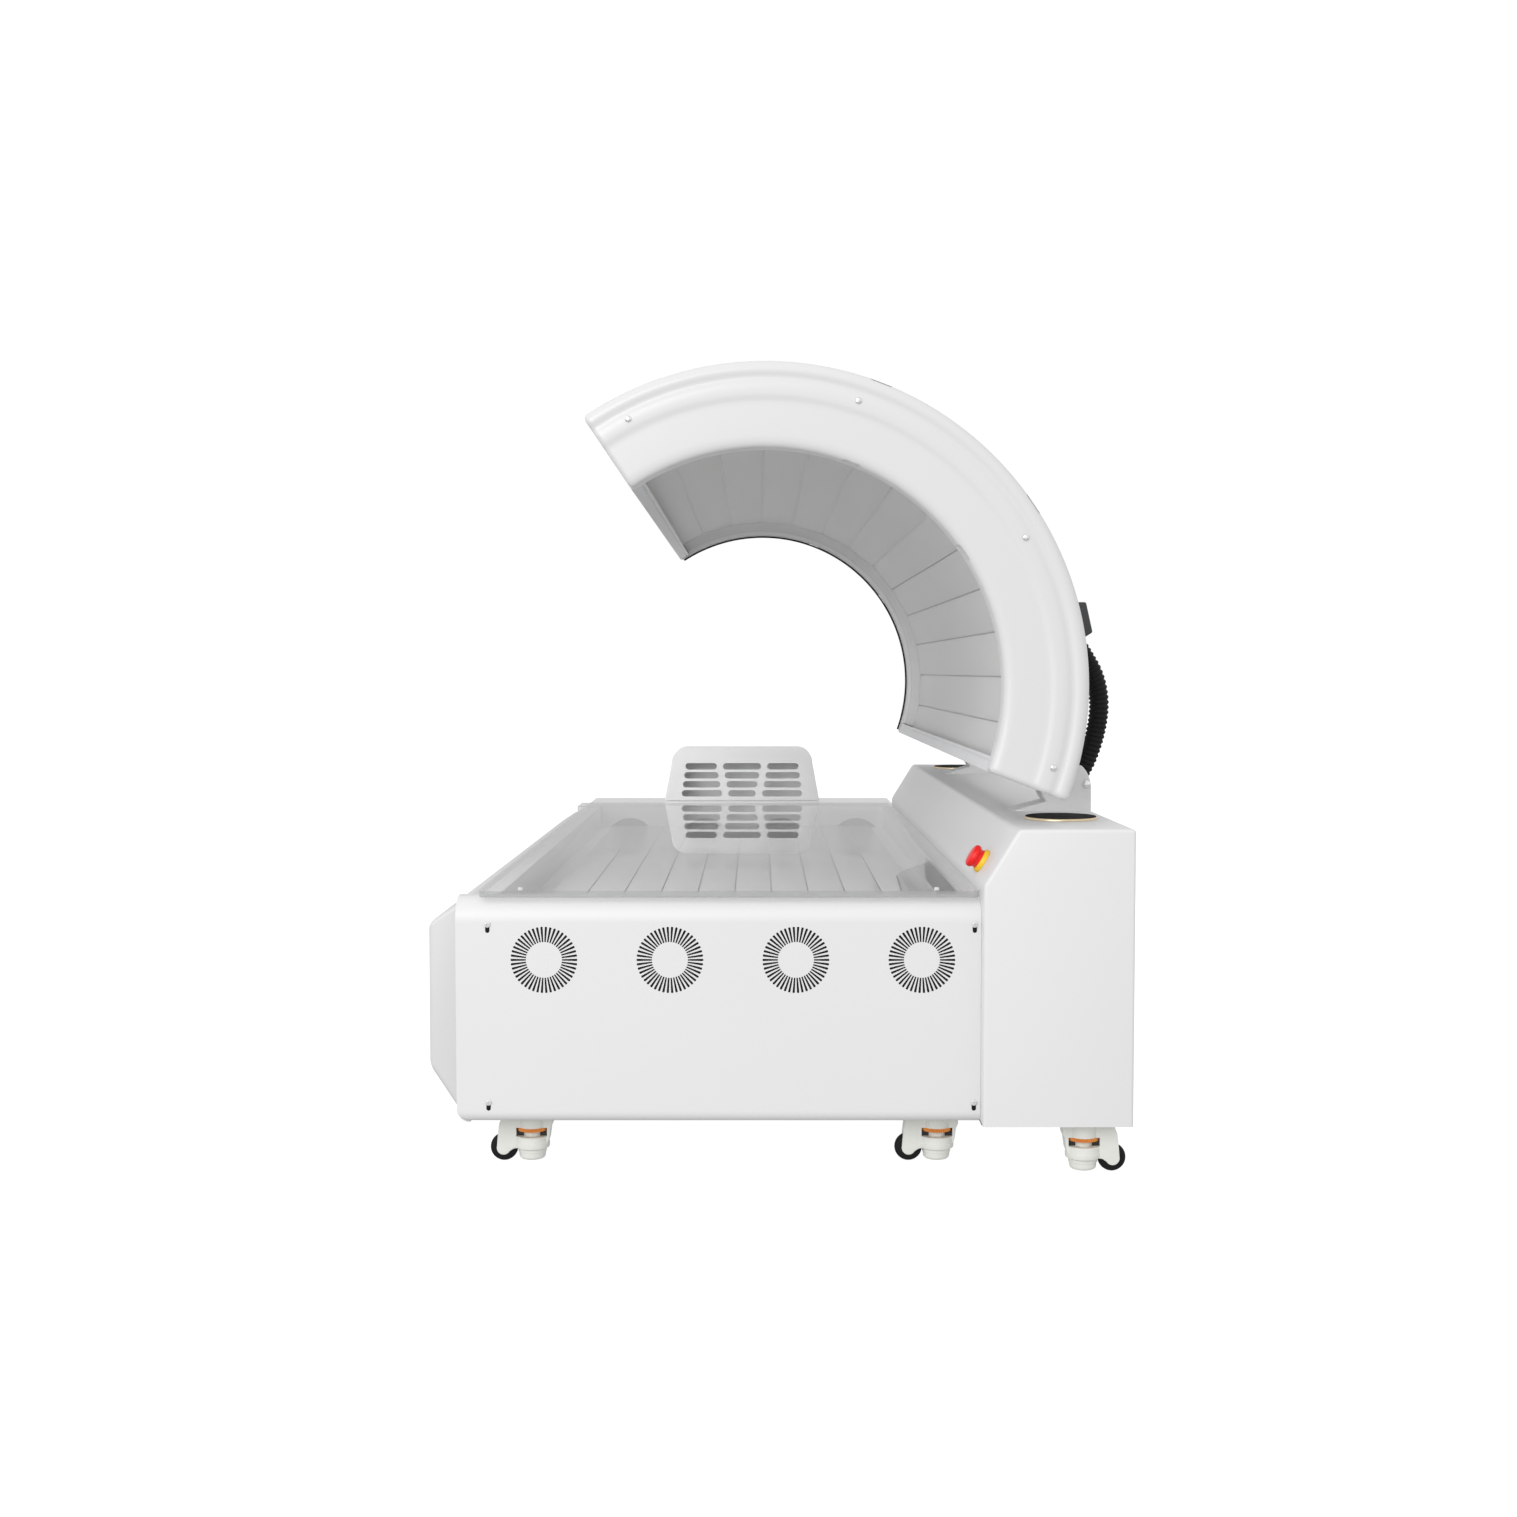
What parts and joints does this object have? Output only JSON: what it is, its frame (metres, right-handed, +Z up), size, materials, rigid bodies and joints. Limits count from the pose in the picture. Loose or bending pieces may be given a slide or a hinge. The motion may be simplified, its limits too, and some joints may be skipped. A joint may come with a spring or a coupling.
{
  "type": "red light therapy bed",
  "caption": "Clamshell red light therapy bed with a clear acrylic sheet over LED boards, a hinged LED canopy on a side column, fan vents, headrest and levelling castors",
  "frame": {"origin": "on the floor under the middle of the bounding box", "axes": "+Z up, +Y from the open near end to the headrest end, +X towards the hinge column"},
  "size_m": [1.2155, 2.2, 1.3449],
  "materials": {
    "white_enamel": "white powder coat, satin",
    "moulded_white": "white moulded plastic, semi-gloss",
    "rail_aluminium": "light grey anodised extrusion",
    "tray_white": "white tray under the clear sheet",
    "led_board": "white faced LED boards",
    "clear_acrylic": "polished clear acrylic",
    "headrest_white": "moulded white, satin",
    "black_plastic": "black moulded plastic",
    "dark_grey_plastic": "dark grey moulded plastic",
    "black_rubber": "black rubber",
    "castor_nylon": "off-white moulded nylon",
    "foot_nylon": "off-white moulded nylon",
    "zinc_steel": "zinc plated steel",
    "stop_red": "red moulded plastic",
    "stop_yellow": "yellow moulded plastic"
  },
  "bodies": {
    "base": {"base_pan": "white_enamel", "base_frame": "rail_aluminium", "near_end_panel": "white_enamel", "far_end_panel": "white_enamel", "left_side_skirt": "white_enamel", "column_housing": "white_enamel", "bed_led_tray": "tray_white", "bed_led_boards": "led_board", "bed_acrylic_sheet": "clear_acrylic", "headrest": "headrest_white", "fan_tray_near": "dark_grey_plastic", "fan_tray_far": "dark_grey_plastic", "speaker_near": "black_plastic", "speaker_far": "black_plastic", "estop_collar": "stop_yellow", "mains_inlet": "black_plastic", "power_supply": "rail_aluminium", "hinge_bracket_near": "white_enamel", "hinge_bracket_far": "white_enamel", "hinge_pin_near": "zinc_steel", "hinge_pin_far": "zinc_steel", "hose_gland": "dark_grey_plastic", "wiring_hose": "black_rubber"},
    "canopy": {"canopy_shell": "moulded_white", "canopy_near_cap": "moulded_white", "canopy_far_cap": "moulded_white", "canopy_front_rail": "rail_aluminium", "canopy_rear_rail": "rail_aluminium", "canopy_led_liner": "led_board", "canopy_acrylic_cover": "clear_acrylic", "canopy_junction_box": "dark_grey_plastic", "canopy_knuckle_near": "white_enamel", "canopy_knuckle_far": "white_enamel"},
    "estop": {"estop_button": "stop_red"},
    "fan_near_1": {"fan_rotor_near_1": "black_plastic"},
    "fan_near_2": {"fan_rotor_near_2": "black_plastic"},
    "fan_near_3": {"fan_rotor_near_3": "black_plastic"},
    "fan_near_4": {"fan_rotor_near_4": "black_plastic"},
    "fan_far_1": {"fan_rotor_far_1": "black_plastic"},
    "fan_far_2": {"fan_rotor_far_2": "black_plastic"},
    "fan_far_3": {"fan_rotor_far_3": "black_plastic"},
    "fan_far_4": {"fan_rotor_far_4": "black_plastic"},
    "fork_near_left": {"castor_fork_near_left": "castor_nylon"},
    "wheel_near_left": {"castor_wheel_near_left": "black_rubber"},
    "foot_near_left": {"levelling_foot_near_left": "foot_nylon"},
    "fork_near_right": {"castor_fork_near_right": "castor_nylon"},
    "wheel_near_right": {"castor_wheel_near_right": "black_rubber"},
    "foot_near_right": {"levelling_foot_near_right": "foot_nylon"},
    "fork_near_column": {"castor_fork_near_column": "castor_nylon"},
    "wheel_near_column": {"castor_wheel_near_column": "black_rubber"},
    "foot_near_column": {"levelling_foot_near_column": "foot_nylon"},
    "fork_far_left": {"castor_fork_far_left": "castor_nylon"},
    "wheel_far_left": {"castor_wheel_far_left": "black_rubber"},
    "foot_far_left": {"levelling_foot_far_left": "foot_nylon"},
    "fork_far_right": {"castor_fork_far_right": "castor_nylon"},
    "wheel_far_right": {"castor_wheel_far_right": "black_rubber"},
    "foot_far_right": {"levelling_foot_far_right": "foot_nylon"},
    "fork_far_column": {"castor_fork_far_column": "castor_nylon"},
    "wheel_far_column": {"castor_wheel_far_column": "black_rubber"},
    "foot_far_column": {"levelling_foot_far_column": "foot_nylon"}
  },
  "joints": [
    {"name": "canopy_hinge", "type": "hinge", "parent": "base", "child": "canopy", "pos_m": [0.497, 0, 0.62], "axis": [0, -1, 0], "range_deg": [0, 30], "deforming": ["wiring_hose"]},
    {"name": "estop_press", "type": "slide", "parent": "base", "child": "estop", "axis": [0.8518, 0, -0.5239], "range_m": [0, 0.005], "stiffness_N_per_m": 1200, "springref_m": -0.004},
    {"name": "fan_spin_near_1", "type": "hinge", "parent": "base", "child": "fan_near_1", "pos_m": [-0.41645, -1.048, 0.359], "axis": [0, 1, 0], "continuous": true},
    {"name": "fan_spin_near_2", "type": "hinge", "parent": "base", "child": "fan_near_2", "pos_m": [-0.20815, -1.048, 0.359], "axis": [0, 1, 0], "continuous": true},
    {"name": "fan_spin_near_3", "type": "hinge", "parent": "base", "child": "fan_near_3", "pos_m": [0.00015, -1.048, 0.359], "axis": [0, 1, 0], "continuous": true},
    {"name": "fan_spin_near_4", "type": "hinge", "parent": "base", "child": "fan_near_4", "pos_m": [0.20845, -1.048, 0.359], "axis": [0, 1, 0], "continuous": true},
    {"name": "fan_spin_far_1", "type": "hinge", "parent": "base", "child": "fan_far_1", "pos_m": [-0.41645, 1.078, 0.359], "axis": [0, 1, 0], "continuous": true},
    {"name": "fan_spin_far_2", "type": "hinge", "parent": "base", "child": "fan_far_2", "pos_m": [-0.20815, 1.078, 0.359], "axis": [0, 1, 0], "continuous": true},
    {"name": "fan_spin_far_3", "type": "hinge", "parent": "base", "child": "fan_far_3", "pos_m": [0.00015, 1.078, 0.359], "axis": [0, 1, 0], "continuous": true},
    {"name": "fan_spin_far_4", "type": "hinge", "parent": "base", "child": "fan_far_4", "pos_m": [0.20845, 1.078, 0.359], "axis": [0, 1, 0], "continuous": true},
    {"name": "castor_swivel_near_left", "type": "hinge", "parent": "base", "child": "fork_near_left", "pos_m": [-0.4445, -0.981, 0.05], "axis": [0, 0, 1], "continuous": true},
    {"name": "wheel_roll_near_left", "type": "hinge", "parent": "fork_near_left", "child": "wheel_near_left", "pos_m": [-0.4925, -0.981, 0.024], "axis": [0, 1, 0], "continuous": true},
    {"name": "foot_screw_near_left", "type": "slide", "parent": "fork_near_left", "child": "foot_near_left", "axis": [0, 0, 1], "range_m": [-0.01, 0]},
    {"name": "castor_swivel_near_right", "type": "hinge", "parent": "base", "child": "fork_near_right", "pos_m": [0.246, -0.981, 0.05], "axis": [0, 0, 1], "continuous": true},
    {"name": "wheel_roll_near_right", "type": "hinge", "parent": "fork_near_right", "child": "wheel_near_right", "pos_m": [0.198, -0.981, 0.024], "axis": [0, 1, 0], "continuous": true},
    {"name": "foot_screw_near_right", "type": "slide", "parent": "fork_near_right", "child": "foot_near_right", "axis": [0, 0, 1], "range_m": [-0.01, 0]},
    {"name": "castor_swivel_near_column", "type": "hinge", "parent": "base", "child": "fork_near_column", "pos_m": [0.485, -1.046, 0.05], "axis": [0, 0, 1], "continuous": true},
    {"name": "wheel_roll_near_column", "type": "hinge", "parent": "fork_near_column", "child": "wheel_near_column", "pos_m": [0.533, -1.046, 0.024], "axis": [0, 1, 0], "continuous": true},
    {"name": "foot_screw_near_column", "type": "slide", "parent": "fork_near_column", "child": "foot_near_column", "axis": [0, 0, 1], "range_m": [-0.01, 0]},
    {"name": "castor_swivel_far_left", "type": "hinge", "parent": "base", "child": "fork_far_left", "pos_m": [-0.4445, 0.873, 0.05], "axis": [0, 0, 1], "continuous": true},
    {"name": "wheel_roll_far_left", "type": "hinge", "parent": "fork_far_left", "child": "wheel_far_left", "pos_m": [-0.4925, 0.873, 0.024], "axis": [0, 1, 0], "continuous": true},
    {"name": "foot_screw_far_left", "type": "slide", "parent": "fork_far_left", "child": "foot_far_left", "axis": [0, 0, 1], "range_m": [-0.01, 0]},
    {"name": "castor_swivel_far_right", "type": "hinge", "parent": "base", "child": "fork_far_right", "pos_m": [0.246, 0.873, 0.05], "axis": [0, 0, 1], "continuous": true},
    {"name": "wheel_roll_far_right", "type": "hinge", "parent": "fork_far_right", "child": "wheel_far_right", "pos_m": [0.198, 0.873, 0.024], "axis": [0, 1, 0], "continuous": true},
    {"name": "foot_screw_far_right", "type": "slide", "parent": "fork_far_right", "child": "foot_far_right", "axis": [0, 0, 1], "range_m": [-0.01, 0]},
    {"name": "castor_swivel_far_column", "type": "hinge", "parent": "base", "child": "fork_far_column", "pos_m": [0.485, 0.876, 0.05], "axis": [0, 0, 1], "continuous": true},
    {"name": "wheel_roll_far_column", "type": "hinge", "parent": "fork_far_column", "child": "wheel_far_column", "pos_m": [0.533, 0.876, 0.024], "axis": [0, 1, 0], "continuous": true},
    {"name": "foot_screw_far_column", "type": "slide", "parent": "fork_far_column", "child": "foot_far_column", "axis": [0, 0, 1], "range_m": [-0.01, 0]}
  ]
}
